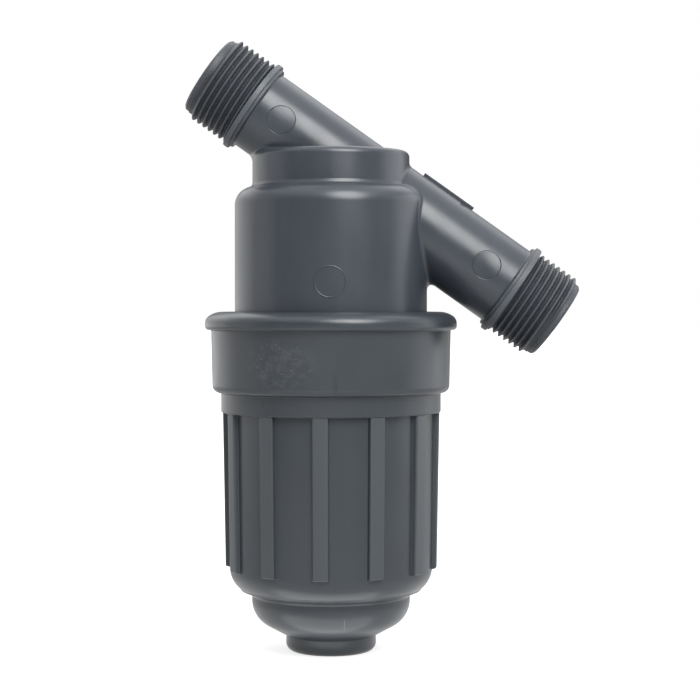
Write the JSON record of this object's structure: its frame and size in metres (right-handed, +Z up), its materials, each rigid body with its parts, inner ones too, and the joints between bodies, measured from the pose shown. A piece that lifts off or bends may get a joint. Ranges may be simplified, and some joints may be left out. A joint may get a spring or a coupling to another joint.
{
  "type": "screen filter",
  "caption": "Y-type screen filter: a sloping pipe with male threaded ends crosses a cylindrical housing over a ribbed screw-on bowl that holds a wire mesh screen.",
  "frame": {"origin": "centre of the boss's flat end face, at the foot of the bowl and on its axis", "axes": "+Z up along the bowl's axis, +X towards the outlet, in the plane of the pipe"},
  "size_m": [0.1128, 0.0722, 0.1753],
  "materials": {
    "moulding": "satin",
    "seal": "matt",
    "cage": "satin",
    "mesh": "woven"
  },
  "bodies": {
    "housing": {"housing": "moulding", "bowl_seal": "seal"},
    "screen": {"screen_cage": "cage", "screen_mesh": "mesh", "screen_gasket": "seal"},
    "bowl": {"bowl": "moulding"}
  },
  "joints": [
    {"name": "screen_slide", "type": "slide", "parent": "housing", "child": "screen", "axis": [0, 0, -1], "range_m": [0, 0.012]},
    {"name": "bowl_screw", "type": "hinge", "parent": "screen", "child": "bowl", "pos_m": [0, 0, 0.05], "axis": [0, 0, -1], "range_deg": [0, 1080]}
  ],
  "couplings": [
    {"joint": "screen_slide", "follows": "bowl_screw", "m_per_rad": 0.00063661}
  ]
}
